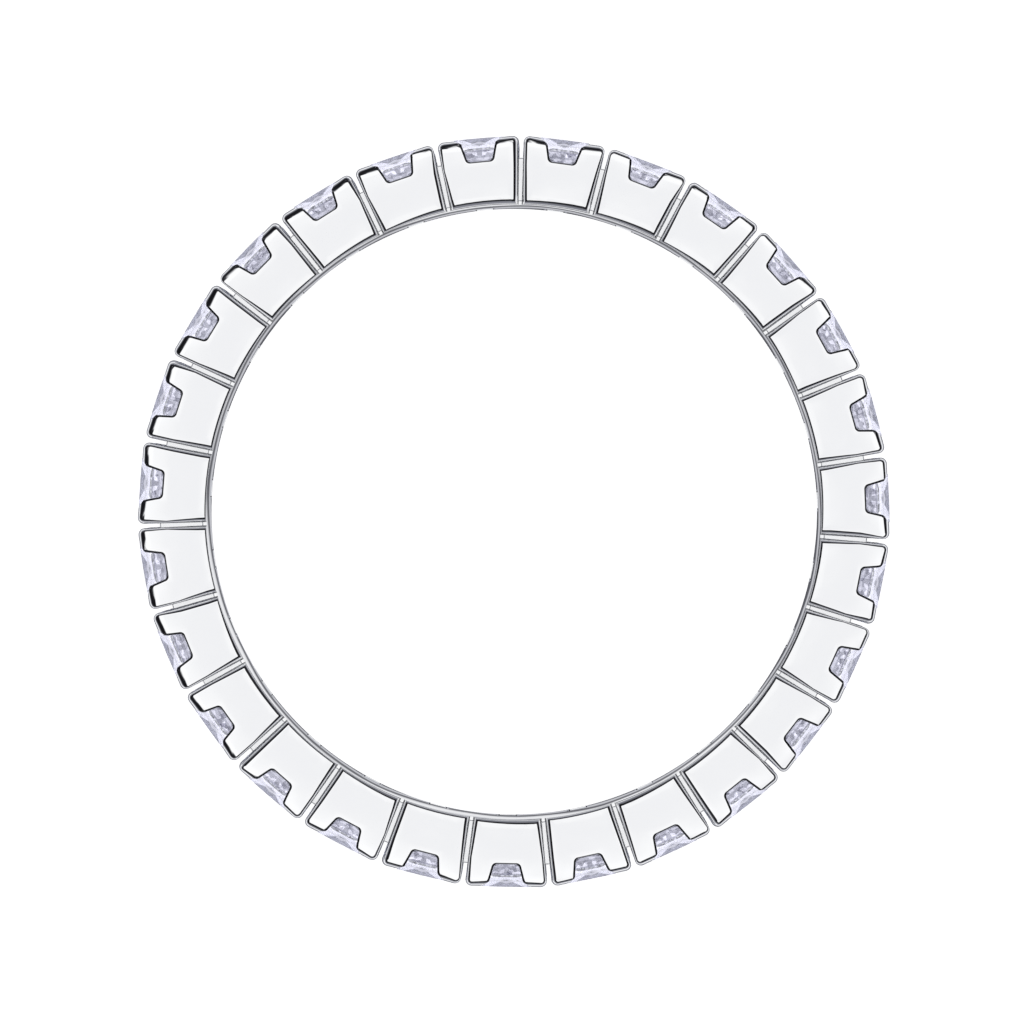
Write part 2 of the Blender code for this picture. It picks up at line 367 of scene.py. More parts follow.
take_up(box, edit=True)
eased = pick(box, "EDGE", is_sharp)
bpy.ops.mesh.bevel(offset=EASE, segments=EASE_STEPS, affect="EDGES", clamp_overlap=True)
put_down()
print("edges eased:", eased, "faces now:", len(box.data.polygons))

# %% [markdown]
# ## The stone
#
# A square-cut stone is ground facet by facet on a flat wheel. Its facets could be typed in as a list of
# corners, but it is nearer to the craft, and surer to be flat and closed, to start from a rough cube and
# slice it with planes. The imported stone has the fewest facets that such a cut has. Here the crown gets two
# tiers of narrow facets and the pavilion five tiers of chevrons, because the sparkle in the notches is a
# mosaic of small facets.

# %% Sizes of the stone and its facets
STONE_WIDTH = 1.95
TABLE_WIDTH = 1.46
TABLE_BULGE = 0.03
CROWN_HEIGHT = 0.29
GIRDLE_HEIGHT = 0.06
PAVILION_DEPTH = 1.05
ROUGH_SPARE = 0.1
STONE_HALF = STONE_WIDTH / 2
TABLE_HALF = TABLE_WIDTH / 2
INSIDE_STONE = Vector((0, 0, 0.02))
EXACT = 0.00001
STONE_WELD = 0.0005
# On the middle line of each side: share of the pavilion's depth, share of the stone's half width
PLAIN_CHEVRONS = ((0.26, 0.86), (0.62, 0.52))
FINE_CHEVRONS = ((0.16, 0.93), (0.34, 0.80), (0.55, 0.60), (0.78, 0.315))
# Narrow crown facets: turn from the side's middle, place along the side, slope, share of the height
CROWN_FACETS = (
    (0, 0, 56, 0),
    (9, 0.30, 56, 0),
    (18, 0.62, 56, 0),
    (5, 0.15, 42, 0.52),
    (14, 0.45, 42, 0.52),
)


def slice_off(piece, a, b, c):
    """Grinds a piece flat along the plane through three points, on the side away from its middle."""
    outward = (b - a).cross(c - a).normalized()
    if outward.dot(INSIDE_STONE - a) > 0:
        outward = -outward
    bpy.ops.mesh.select_all(action="SELECT")
    bpy.ops.mesh.bisect(plane_co=a, plane_no=outward, clear_outer=True, use_fill=True, threshold=EXACT)


print("a fine stone has", len(FINE_CHEVRONS) + 1, "tiers of chevrons")

# %% [markdown]
# The pavilion, towards the finger, comes to a point. On each of its sides the chevrons start from two
# corners of the girdle and meet on the middle line, one tier below the other. The crown slopes from the
# girdle up to the table. The plain cut is kept for the tool that cuts the stone's seat.

# %% Cut one stone from a rough cube


def plain_crown(stone, turn, grow):
    """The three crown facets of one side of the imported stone."""
    half, table = STONE_HALF + grow, TABLE_HALF + grow
    girdle = GIRDLE_HEIGHT + grow
    high = [turn @ Vector((half, side * half, girdle)) for side in (-1, 1)]
    rim = [turn @ Vector((table, side * table, girdle + CROWN_HEIGHT)) for side in (-1, 1)]
    rim_middle = turn @ Vector((table + TABLE_BULGE, 0, girdle + CROWN_HEIGHT))
    slice_off(stone, high[0], high[1], rim_middle)
    for i in (0, 1):
        slice_off(stone, high[i], rim_middle, rim[i])


def fine_crown(stone, turn):
    """Two tiers of narrow crown facets on one side of a stone."""
    lower_slope = CROWN_FACETS[0][2]
    for angle, place, degrees, share in CROWN_FACETS:
        slope = math.radians(degrees)
        rise = share * CROWN_HEIGHT
        start = STONE_HALF - rise / math.tan(math.radians(lower_slope))
        for side in ((1,) if angle == 0 else (-1, 1)):
            turned = turn @ Matrix.Rotation(math.radians(angle * side), 3, "Z")
            corner = turn @ Vector((start, place * side, GIRDLE_HEIGHT + rise))
            along_row = turned @ Vector((0, 1, 0))
            uphill = turned @ Vector((-math.cos(slope), 0, math.sin(slope)))
            slice_off(stone, corner, corner + along_row, corner + uphill)


def pavilion_side(stone, turn, chevrons, half, depth):
    """One side of the pavilion, with its tiers of chevrons."""
    low = [turn @ Vector((half, side * half, 0)) for side in (-1, 1)]
    points = [turn @ Vector((share * half, 0, -down * depth)) for down, share in chevrons]
    points.append(Vector((0, 0, -depth)))
    slice_off(stone, low[0], low[1], points[0])
    for i in (0, 1):
        for upper, lower in zip(points, points[1:]):
            slice_off(stone, low[i], upper, lower)


def cut_stone(name, grow, fine):
    """A stone with its table facing +Z and its girdle's lower edge at z = 0."""
    half = STONE_HALF + grow
    depth = PAVILION_DEPTH + grow
    top = GIRDLE_HEIGHT + grow + CROWN_HEIGHT
    stone = bar(name, (-half, -half, -depth - ROUGH_SPARE), (half, half, top))
    take_up(stone, edit=True)
    for quarter in range(4):
        turn = Matrix.Rotation(math.radians(90 * quarter), 3, "Z")
        if fine:
            fine_crown(stone, turn)
        else:
            plain_crown(stone, turn, grow)
        pavilion_side(stone, turn, FINE_CHEVRONS if fine else PLAIN_CHEVRONS, half, depth)
    weld(stone, STONE_WELD)
    put_down()
    return stone


stone = cut_stone("stone", 0, fine=True)
print("stone:", len(stone.data.polygons), "facets, size", [round(n, 3) for n in stone.dimensions])

# %% [markdown]
# ## The seat and the light hole
#
# On the real ring the setter cuts a ledge for the stone into each box. Here the seat is cut with a second
# stone, grown by the gap all round and run out through the prong tips, so it fits the stone everywhere.
# The light hole is a tapered square hole that opens into the finger hole.

# %% Cut the seat and the light hole
TABLE_PROUD = 0.04
SEAT_GAP = 0.03
LIGHT_HOLE_WIDTH = 0.66
LIGHT_THROAT_WIDTH = 0.56
HOLE_ROUND = 0.10
HOLE_ROUND_STEPS = 4
GIRDLE_RADIUS = TIP_RADIUS + TABLE_PROUD - CROWN_HEIGHT - GIRDLE_HEIGHT
CULET_RADIUS = GIRDLE_RADIUS - PAVILION_DEPTH
SEAT_FLOOR = CULET_RADIUS + PAVILION_DEPTH * LIGHT_THROAT_WIDTH / STONE_WIDTH
UPRIGHT_TO_OUTWARD = Matrix.Rotation(math.pi / 2, 4, "Y")


def set_in_box(piece):
    """Turns a stone's table outwards and moves it to its seat on the +X side."""
    piece.data.transform(Matrix.Translation((GIRDLE_RADIUS, 0, 0)) @ UPRIGHT_TO_OUTWARD)


seat = cut_stone("seat", SEAT_GAP, fine=False)
take_up(seat, edit=True)
pick(seat, "FACE", lambda f: f.normal.z > STRAIGHT)
extrude(z=OVERRUN)
put_down()
set_in_box(seat)
combine(box, seat, "DIFFERENCE")

hole_half = LIGHT_THROAT_WIDTH / 2
hole = bar("light hole", (BLOCK_START, -hole_half, -hole_half), (SEAT_FLOOR, hole_half, hole_half))
take_up(hole, edit=True)
pick(hole, "VERT", lambda v: v.co.x < BLOCK_START + NEAR)
hole_flare = LIGHT_HOLE_WIDTH / LIGHT_THROAT_WIDTH
bpy.ops.transform.resize(value=(1, hole_flare, hole_flare))
pick(hole, "EDGE", lambda e: not along(e, "Y") and not along(e, "Z"))
bpy.ops.mesh.bevel(offset=HOLE_ROUND, segments=HOLE_ROUND_STEPS, affect="EDGES")
put_down()
combine(box, hole, "DIFFERENCE")
print("box with seat and light hole:", len(box.data.polygons), "faces")

# %% [markdown]
# ## The finger hole
#
# The finger hole is turned last. A comfortable ring bulges in a little halfway along the finger and is
# rounded at both rims. A straight cylinder would do for the hole, but the soft grey line along its wall in
# a photo comes from that bulge. So the cutter starts as a short cylinder, and both its ends are extruded
# and widened step by step.

# %% Turn the finger hole
BORE_BULGE = 0.06
# The worn rim: how far in from the edge of the face, how far below the face
RIM = ((0.100, 0.0724), (0.095, 0.0507), (0.088, 0.0407), (0.080, 0.0340), (0.067, 0.0259),
       (0.051, 0.0174), (0.034, 0.0098), (0.017, 0.0039), (0, 0))
RIM_WIDTH, RIM_DEPTH = RIM[0]
WALL_HALF = FACE_HALF - RIM_DEPTH
WALL_STEPS = 5


def hole_profile():
    """Height above the middle and radius, from the waist of the hole out to its rounded rim."""
    profile = []
    for step in range(1, WALL_STEPS + 1):
        share = step / WALL_STEPS
        profile.append((WALL_HALF * share, BORE_RADIUS - BORE_BULGE * (1 - share ** 2)))
    for inward, down in RIM[1:]:
        profile.append((FACE_HALF - down, BORE_RADIUS + RIM_WIDTH - inward))
    return profile


def hole_cutter():
    """A short cylinder whose ends are extruded and widened along the profile."""
    profile = hole_profile()
    put_down()
    height, radius = profile[0]
    bpy.ops.mesh.primitive_cylinder_add(vertices=STEPS_ROUND, radius=radius, depth=2 * height)
    cutter = bpy.context.object
    cutter.name = "finger hole"
    take_up(cutter, edit=True)
    bpy.ops.mesh.select_all(action="SELECT")
    bpy.ops.mesh.bisect(plane_co=(0, 0, 0), plane_no=(0, 0, 1), threshold=TINY)
    waist = (BORE_RADIUS - BORE_BULGE) / radius
    pick(cutter, "VERT", lambda v: abs(v.co.z) < HAIR)
    bpy.ops.transform.resize(value=(waist, waist, 1))
    for side in (-1, 1):
        pick(cutter, "FACE", lambda f: f.normal.z * side > STRAIGHT)
        for (height, radius), (next_height, next_radius) in zip(profile, profile[1:]):
            extrude(z=side * (next_height - height))
            bpy.ops.transform.resize(value=(next_radius / radius, next_radius / radius, 1))
        extrude(z=side * OVERRUN)
    put_down()
    return cutter


combine(box, hole_cutter(), "DIFFERENCE")
print("box with finger hole:", len(box.data.polygons), "faces")

# %% [markdown]
# ## One slice of the ring
#
# The box is trimmed in the middle of the slits on both sides, which leaves one slice of the ring. Its
# faces are divided by a few planes alongside their edges, to give the next steps points to move.

# %% Trim the slice and divide its faces
CROWN_BORDER = 0.16
FILED_WIDTH = 0.042
SLICE_WELD = 0.0002
FILED_START = TIP_RADIUS - EDGE_ROUND - FILED_WIDTH
NOTCH_FLOOR = TIP_RADIUS - NOTCH_DEPTH
NOTCH_SLOPE = math.atan((NOTCH_MOUTH_WIDTH - NOTCH_FLOOR_WIDTH) / 2 / NOTCH_DEPTH)
SIDE_SLOPE = math.atan((half_box_width(TIP_RADIUS) - half_box_width(BORE_RADIUS)) / BAND_THICKNESS)


def divide(x, y, angle, clear=False):
    """Cuts the slice along a plane upright to its faces, turned by an angle from straight outwards."""
    bpy.ops.mesh.select_all(action="SELECT")
    across = (-math.sin(angle), math.cos(angle), 0)
    bpy.ops.mesh.bisect(plane_co=(x, y, 0), plane_no=across, clear_outer=clear, threshold=TINY)


take_up(box, edit=True)
divide(0, 0, HALF_PITCH, clear=True)
bpy.ops.mesh.select_all(action="SELECT")
bpy.ops.mesh.bisect(plane_co=(0, 0, 0), plane_no=(-math.sin(HALF_PITCH), -math.cos(HALF_PITCH), 0),
                    clear_outer=True, threshold=TINY)
for x in (BORE_RADIUS + RIM_WIDTH + CROWN_BORDER, NOTCH_FLOOR - CROWN_BORDER,
          TIP_RADIUS - EDGE_ROUND - CROWN_BORDER, FILED_START):
    divide(x, 0, math.pi / 2)
for hand in (-1, 1):
    inner_side = half_box_width(TIP_RADIUS) - EDGE_ROUND - CROWN_BORDER
    divide(TIP_RADIUS, hand * inner_side, hand * SIDE_SLOPE)
    divide(NOTCH_FLOOR, hand * (NOTCH_FLOOR_WIDTH / 2 + CROWN_BORDER), hand * NOTCH_SLOPE)
pick(box, "VERT", lambda v: v.co.x * math.tan(HALF_PITCH) - abs(v.co.y) > HAIR)
bpy.ops.mesh.remove_doubles(threshold=SLICE_WELD)
put_down()
print("one slice:", len(box.data.polygons), "faces")

# %% [markdown]
# ## Crowned faces
#
# A polished face is never quite flat: the wheel takes a little more near the edges and at the prongs. A
# bump pattern could fake this, but it wouldn't follow the notch. So the points of the faces are moved: up
# by a trace inside their outline, and down towards the prong tips.

# %% Crown the faces
CROWN_RISE = 0.004
PRONG_DROP = 0.012
SOFT_DEPTH = 0.29
ON_FACE = 0.0005


def blend(low, high, value):
    """A smooth step from 0 to 1."""
    share = min(max((value - low) / (high - low), 0), 1)
    return share * share * (3 - 2 * share)


def inside_face(x, y):
    """How far a point of a face lies inside the face's outline."""
    from_side = (half_box_width(x) - abs(y)) * math.cos(SIDE_SLOPE) - EDGE_ROUND
    from_tip = TIP_RADIUS - x - EDGE_ROUND
    from_bore = math.hypot(x, y) - BORE_RADIUS - RIM_WIDTH
    beyond = abs(y) - NOTCH_FLOOR_WIDTH / 2 - max(x - NOTCH_FLOOR, 0) * math.tan(NOTCH_SLOPE)
    from_notch = math.hypot(max(beyond, 0), max(NOTCH_FLOOR - x, 0))
    return min(from_side, from_tip, from_bore, from_notch)


for vert in box.data.vertices:
    x, y, z = vert.co
    from_face = FACE_HALF - abs(z)
    if from_face < SOFT_DEPTH:
        towards_tip = blend(NOTCH_FLOOR, TIP_RADIUS - EDGE_ROUND, x)
        lift = -PRONG_DROP * towards_tip * (1 - from_face / SOFT_DEPTH)
        if from_face < ON_FACE:
            lift += CROWN_RISE * blend(0, CROWN_BORDER, inside_face(x, y))
        vert.co.z += lift if z > 0 else -lift
print("faces crowned by", CROWN_RISE, "mm, prongs lowered by", PRONG_DROP, "mm")

# %% [markdown]
# ## Worn by hand
#
# On a real ring no two boxes are alike, because each edge is polished by hand. In the photo the dark line
# along an edge is wide on one box and thin on the next, and the clockwise edges are rounder. The prong
# tips are filed, most of all on the upper left, and the rim of the finger hole is worn more at the top
# and bottom. All 27 boxes could be modelled one by one. Instead each copy gets sizes of its own by chance,
# and the points of its rounds are moved away from the corner that a round replaces, or towards it.

# %% Draw the sizes of one box's wear
# Least and most size of the rounds, by the box's hand and end. 1 leaves a round as it was modelled.
SIDE_SIZES = {-1: (0.38, 1.28), 1: (0.28, 0.88)}
TIP_SIZES = {"notch": (0.68, 1.04), "corner": (0.60, 0.94)}
RIM_SIZES = (0.45, 1.35)
FILED_TILT = math.radians(23)
LEAST_FILED = 0.5
MOST_FILED = math.radians(135)


def draw_wear(angle, chance):
    """Sizes of the rounds and slopes of the filed tips, for the box that stands at an angle."""
    sizes = {}
    most = FILED_TILT * (1 + math.cos(angle - MOST_FILED)) / 2
    for front in (-1, 1):
        for hand in (-1, 1):
            sizes[front, "side", hand] = [chance.uniform(*SIDE_SIZES[hand]) for end in ("rail", "corner")]
        for hand in (-1, 1):
            sizes[front, "tip", hand] = [chance.uniform(*TIP_SIZES[end]) for end in ("notch", "corner")]
        sizes[front, "rim"] = [chance.uniform(*RIM_SIZES) for end in ("first", "last")]
        for hand in (-1, 1):
            tilts = [most * chance.uniform(LEAST_FILED, 1) for end in ("notch", "corner")]
            sizes[front, "filed", hand] = [math.tan(tilt) for tilt in tilts]
    return sizes


def part_way(ends, share):
    """A value between two ends."""
    return ends[0] + (ends[1] - ends[0]) * share


print("tips are filed by up to", round(FILED_WIDTH * math.tan(FILED_TILT), 3), "mm")

# %% [markdown]
# A round is told by its place: the rim lies beside the finger hole's wall, the other rounds between a face
# and the outer walls of the box. Near the rail the rounds of the sides keep their size, to still meet it.

# %% Make each round larger or smaller
ROUND_NEAR_RAIL = 8.80
ROUND_FREE = 9.20
RIM_UNEVEN = 0.28


def wear_rim(vert, ends, angle):
    """Scales the rim's round about the corner of the face and the finger hole."""
    x, y, z = vert.co
    from_wall = math.hypot(x, y) - BORE_RADIUS
    size = part_way(ends, blend(-half_box_width(x), half_box_width(x), y))
    size *= 1 - RIM_UNEVEN * math.cos(2 * (angle + math.atan2(y, x)))
    further = (BORE_RADIUS + from_wall * size) / (BORE_RADIUS + from_wall)
    lower = (FACE_HALF - abs(z)) * size
    vert.co = (x * further, y * further, math.copysign(FACE_HALF - lower, z))


def place_on_round(x, y):
    """How far a point is from the outer wall, the way inwards, and its turn from the side to the tip."""
    hand = 1 if y > 0 else -1
    from_side = half_box_width(x) - abs(y)
    from_tip = TIP_RADIUS - x
    if from_side < CORNER_ROUND and from_tip < CORNER_ROUND:
        to_side, to_tip = CORNER_ROUND - from_side, CORNER_ROUND - from_tip
        reach = math.hypot(to_side, to_tip)
        inward = (-to_tip / reach, -hand * to_side / reach)
        return CORNER_ROUND - reach, inward, blend(0, 1, math.atan2(to_tip, to_side) / (math.pi / 2))
    if from_side < from_tip:
        return from_side, (0, -hand), 0
    return from_tip, (-1, 0), 1


def wear_edges(mesh, angle, chance):
    """Wears the edges of one box, which is on the +X side and will be turned by an angle."""
    sizes = draw_wear(angle, chance)
    for vert in mesh.vertices:
        x, y, z = vert.co
        front, hand = (1 if z > 0 else -1), (1 if y > 0 else -1)
        from_face = FACE_HALF - abs(z)
        if math.hypot(x, y) - BORE_RADIUS < RIM_WIDTH + TINY and from_face < RIM_DEPTH + TINY:
            wear_rim(vert, sizes[front, "rim"], angle)
            continue
        towards_corner = blend(NOTCH_MOUTH_WIDTH / 2, half_box_width(x), abs(y))
        if x > FILED_START and from_face < SOFT_DEPTH:
            slope = part_way(sizes[front, "filed", hand], towards_corner)
            fall = front * slope * min(x - FILED_START, FILED_WIDTH)
            vert.co.z -= fall * (1 - from_face / SOFT_DEPTH)
        inset, inward, turn = place_on_round(x, y)
        on_walls = -2 * HAIR < inset <= EDGE_ROUND + HAIR
        if not (on_walls and -HAIR < from_face <= EDGE_ROUND + NEAR):
            continue
        side_size = part_way(sizes[front, "side", hand], blend(ROUND_FREE, TIP_RADIUS, x))
        tip_size = part_way(sizes[front, "tip", hand], towards_corner)
        size = side_size * (1 - turn) + tip_size * turn
        grow = (size - 1) * blend(ROUND_NEAR_RAIL, ROUND_FREE, x)
        vert.co.x += inward[0] * grow * inset
        vert.co.y += inward[1] * grow * inset
        vert.co.z -= front * grow * from_face


print("sides are worn freely beyond", ROUND_FREE, "mm")

# %% [markdown]
# ## Round the ring
#
# Copies of the slice, each turned on by one pitch, are joined, and their cut edges merge into one closed
# band. An array about an empty would also turn them, but then every box would be worn alike.

# %% Copy the slice round the finger
FIRST_BOX_ANGLE = 7.85
WEAR_SEED = 27

chance = random.Random(WEAR_SEED)


def box_angle(index):
    """Angle of a box's middle from +X, with the boxes counted clockwise from the top."""
    return math.radians(90 - FIRST_BOX_ANGLE) - 2 * HALF_PITCH * index


def copy_of(piece):
    """A copy with a mesh of its own."""
    copied = piece.copy()
    copied.data = piece.data.copy()
    bpy.context.scene.collection.objects.link(copied)
    return copied


slices = []
for index in range(BOX_COUNT):
    piece = copy_of(box)
    wear_edges(piece.data, box_angle(index), chance)
    piece.data.transform(Matrix.Rotation(box_angle(index), 4, "Z"))
    slices.append(piece)
bpy.data.objects.remove(box)

put_down()
for piece in slices:
    piece.select_set(True)
bpy.context.view_layer.objects.active = slices[0]
bpy.ops.object.join()
band = bpy.context.object
band.name = "polished_band"
band.data.name = "polished_band"
take_up(band, edit=True)
weld(band, TINY)
put_down()
print("slices joined:", len(slices))

# %% [markdown]
# ## Smooth rounds, flat faces
#
# Smooth shading lets a few narrow strips look like one round. It would also make the flat faces look
# swollen near their edges, so the normals are weighted by area, and the large flat faces win. This is done
# in millimetres, because areas in square metres are too small to weigh.

# %% Shade the band and bring it to size
CREASE = math.radians(32)


def finish_piece(piece):
    """Brings a piece from millimetres to metres and lifts it so that the ring lies on the floor."""
    lift = Matrix.Translation((0, 0, FACE_HALF * MILLIMETRE))
    piece.data.transform(lift @ Matrix.Scale(MILLIMETRE, 4))


def open_edges(piece):
    """Edges that don't have exactly two faces. A closed piece has none."""
    form = bmesh.new()
    form.from_mesh(piece.data)
    count = sum(1 for edge in form.edges if not edge.is_manifold)
    form.free()
    return count


take_up(band)
bpy.ops.object.shade_smooth_by_angle(angle=CREASE)
weights = band.modifiers.new("flat faces stay flat", "WEIGHTED_NORMAL")
weights.keep_sharp = True
bpy.ops.object.modifier_apply(modifier=weights.name)
finish_piece(band)
band_triangles = sum(len(face.vertices) - 2 for face in band.data.polygons)
print("band:", band_triangles, "triangles, open edges", open_edges(band))

# %% [markdown]
# ## A stone in every box
#
# Each box gets its own copy of the stone, with its table facing outwards. All could stand exactly true,
# but then all would sparkle alike. So each is turned by less than a degree in its seat, as a setter
# leaves it.

# %% Set a stone in every box
SETTING_ERROR = math.radians(0.7)

set_stones = []
for index in range(BOX_COUNT):
    piece = copy_of(stone)
    piece.name = f"cut_stone_{index + 1:02d}"
    piece.data.name = piece.name
    for axis in "XYZ":
        piece.data.transform(Matrix.Rotation(chance.uniform(-SETTING_ERROR, SETTING_ERROR), 4, axis))
    set_in_box(piece)
    piece.data.transform(Matrix.Rotation(box_angle(index), 4, "Z"))
    finish_piece(piece)
    set_stones.append(piece)
bpy.data.objects.remove(stone)
print("stones:", len(set_stones), "open edges of one:", open_edges(set_stones[0]))

# %% [markdown]
# ## Waves and smears
#
# A hand-polished surface is very slightly wavy and has faint smears. They could be drawn as a picture and
# wrapped round the ring, but patterns in space fit any shape. One node group makes them for the metal and,
# much finer, for the stones.

# %% Node group for waves and smears
WAVE_DETAIL = 1.5
SMEAR_DETAIL = 5


def polish_marks():
    """A node group with the height of the polishing waves and the darkness of smears."""
    group = bpy.data.node_groups.new("polish marks", "ShaderNodeTree")
    for name in ("Wave Size", "Smear Size"):
        group.interface.new_socket(name, in_out="INPUT", socket_type="NodeSocketFloat")
    for name in ("Height", "Smear"):
        group.interface.new_socket(name, in_out="OUTPUT", socket_type="NodeSocketFloat")
    nodes, links = group.nodes, group.links
    start = nodes.new("NodeGroupInput")
    end = nodes.new("NodeGroupOutput")
    place = nodes.new("ShaderNodeTexCoord")
    for size, result, detail in (("Wave Size", "Height", WAVE_DETAIL),
                                 ("Smear Size", "Smear", SMEAR_DETAIL)):
        per_metre = nodes.new("ShaderNodeMath")
        per_metre.operation = "DIVIDE"
        per_metre.inputs[0].default_value = 1
        links.new(start.outputs[size], per_metre.inputs[1])
        noise = nodes.new("ShaderNodeTexNoise")
        noise.inputs["Detail"].default_value = detail
        links.new(place.outputs["Object"], noise.inputs["Vector"])
        links.new(per_metre.outputs[0], noise.inputs["Scale"])
        links.new(noise.outputs["Fac"], end.inputs[result])
    return group


MARKS = polish_marks()
print("node group:", MARKS.name, "with", len(MARKS.nodes), "nodes")

# %% [markdown]
# ## Small node helpers
#
# A material is a chain of nodes. These helpers place and link the ones that are needed again and again: a
# sum, a soft change, a mix of two colours, a drift by chance, and a point's place on the ring.

# %% Helpers for materials
DRIFT_DETAIL = 2


def new_material(name):
    """A new material with its nodes, its links and its main shader."""
    made = bpy.data.materials.new(name)
    made.use_nodes = True
    return made, made.node_tree.nodes, made.node_tree.links, made.node_tree.nodes["Principled BSDF"]


def marks_in(material, wave, smear):
    """Places the node group in a material, with the sizes of its waves and smears in metres."""
    marks = material.node_tree.nodes.new("ShaderNodeGroup")
    marks.node_tree = MARKS
    marks.inputs["Wave Size"].default_value = wave
    marks.inputs["Smear Size"].default_value = smear
    return marks


def plug(material, socket, value):
    """Feeds a socket from another socket or with a plain value."""
    if isinstance(value, bpy.types.NodeSocket):
        material.node_tree.links.new(value, socket)
    else:
        socket.default_value = value


def maths(material, operation, first, second=0):
    """A math node. Its inputs are sockets or plain numbers."""
    node = material.node_tree.nodes.new("ShaderNodeMath")
    node.operation = operation
    plug(material, node.inputs[0], first)
    plug(material, node.inputs[1], second)
    return node.outputs[0]


def two_colours(material, factor, first, second):
    """Mixes two colours. Each is a socket or a plain colour."""
    node = material.node_tree.nodes.new("ShaderNodeMix")
    node.data_type = "RGBA"
    plug(material, node.inputs["Factor"], factor)
    plug(material, node.inputs["A"], first)
    plug(material, node.inputs["B"], second)
    return node.outputs["Result"]


def fade(material, value, low, high, start, end):
    """A soft change from one value to another as the input goes from low to high."""
    node = material.node_tree.nodes.new("ShaderNodeMapRange")
    node.interpolation_type = "SMOOTHSTEP"
    plug(material, node.inputs["Value"], value)
    for name, number in (("From Min", low), ("From Max", high), ("To Min", start), ("To Max", end)):
        node.inputs[name].default_value = number
    return node.outputs["Result"]


def drift(material, place, scale, width):
    """A shift by chance to both sides of nothing, which changes softly from place to place."""
    noise = material.node_tree.nodes.new("ShaderNodeTexNoise")
    noise.inputs["Scale"].default_value = scale
    noise.inputs["Detail"].default_value = DRIFT_DETAIL
    plug(material, noise.inputs["Vector"], place)
    return maths(material, "MULTIPLY", maths(material, "SUBTRACT", noise.outputs["Fac"], 0.5), width)


def place_in(material):
    """Distance from the finger's axis and height above the floor, of each point of the surface."""
    nodes, links = material.node_tree.nodes, material.node_tree.links
    place = nodes.new("ShaderNodeTexCoord")
    split = nodes.new("ShaderNodeSeparateXYZ")
    links.new(place.outputs["Object"], split.inputs[0])
    across = maths(material, "POWER", split.outputs["X"], 2)
    along_y = maths(material, "POWER", split.outputs["Y"], 2)
    radius = maths(material, "SQRT", maths(material, "ADD", across, along_y))
    return radius, split.outputs["Z"]


print("node helpers are ready")

# %% [markdown]
# ## The finish of the metal
#
# White gold is polished to a mirror, and what the eye sees is mostly the room. Only where the wheel
# reaches is it bright: the faces, the finger hole and the prong tips. Between the boxes and behind the
# stones it stays satin. Two materials would meet in a hard line, so one material changes softly with the
# distance from the middle of the band and from the finger's axis.

# %% Polished white metal
METAL_COLOUR = (0.93, 0.936, 0.95, 1)
POLISHED, SATIN, SMEARED = 0.03, 0.18, 0.04
SMEAR_LEVELS = (0.45, 0.75)
METAL_WAVE = 0.0016
METAL_SMEAR = 0.0006
WAVE_HEIGHT = 0.00001
MIDDLE_HEIGHT = FACE_HALF * MILLIMETRE
# In metres, where the wheel's reach changes: from the middle of the band, and from the finger's axis
FACES_REACHED = (0.00095, 0.00106)
BORE_REACHED = (0.00872, 0.00880)
TIPS_REACHED = (0.01025, 0.01040)

metal, nodes, links, shader = new_material("polished white metal")
shader.inputs["Metallic"].default_value = 1
shader.inputs["Base Color"].default_value = METAL_COLOUR
radius, height = place_in(metal)
from_middle = maths(metal, "ABSOLUTE", maths(metal, "SUBTRACT", height, MIDDLE_HEIGHT))
on_faces = fade(metal, from_middle, *FACES_REACHED, 0, 1)
in_bore = fade(metal, radius, *BORE_REACHED, 1, 0)
on_tips = fade(metal, radius, *TIPS_REACHED, 0, 1)
reached = maths(metal, "MAXIMUM", maths(metal, "MAXIMUM", on_faces, in_bore), on_tips)
marks = marks_in(metal, METAL_WAVE, METAL_SMEAR)
smear = fade(metal, marks.outputs["Smear"], *SMEAR_LEVELS, 0, SMEARED)
satin = fade(metal, reached, 0, 1, SATIN, POLISHED)
links.new(maths(metal, "ADD", smear, satin), shader.inputs["Roughness"])
bump = nodes.new("ShaderNodeBump")
bump.inputs["Strength"].default_value = 1
bump.inputs["Distance"].default_value = WAVE_HEIGHT
links.new(marks.outputs["Height"], bump.inputs["Height"])
links.new(bump.outputs["Normal"], shader.inputs["Normal"])
print("metal:", len(nodes), "nodes")

# %% [markdown]
# ## The stones
#
# A clear cut stone has no colour of its own. Light goes in, bounces off the facets and the metal behind
# them, and comes out again with a breath of lavender. A renderer follows only some of these bounces, so
# glass alone would look emptier than the real stone. Where the stone is seen from outside, its pavilion
# therefore gets painted reflections: a mosaic of small dark and light squares for the many small ones.

# %% Clear stone
STONE_BENDING = 2.0
CROWN_TINT = (0.97, 0.97, 1, 1)
# The dark and the light of the pavilion's painted reflections
PAVILION_PAINTED_REFLECTIONS = ((0.12, 0.12, 0.16, 1), (0.92, 0.92, 1, 1))
CELL_SIZE = 0.00013
GIRDLE_BLUR = 0.02
STONE_WAVE = 0.0004
STONE_SMEAR = 0.0002
HAZE_LEVELS = (0.5, 0.8)
HAZE = 0.02
# In metres, the soft change of tint at the girdle
GIRDLE_CHANGE = (
    (GIRDLE_RADIUS - GIRDLE_BLUR) * MILLIMETRE, (GIRDLE_RADIUS + GIRDLE_BLUR) * MILLIMETRE)

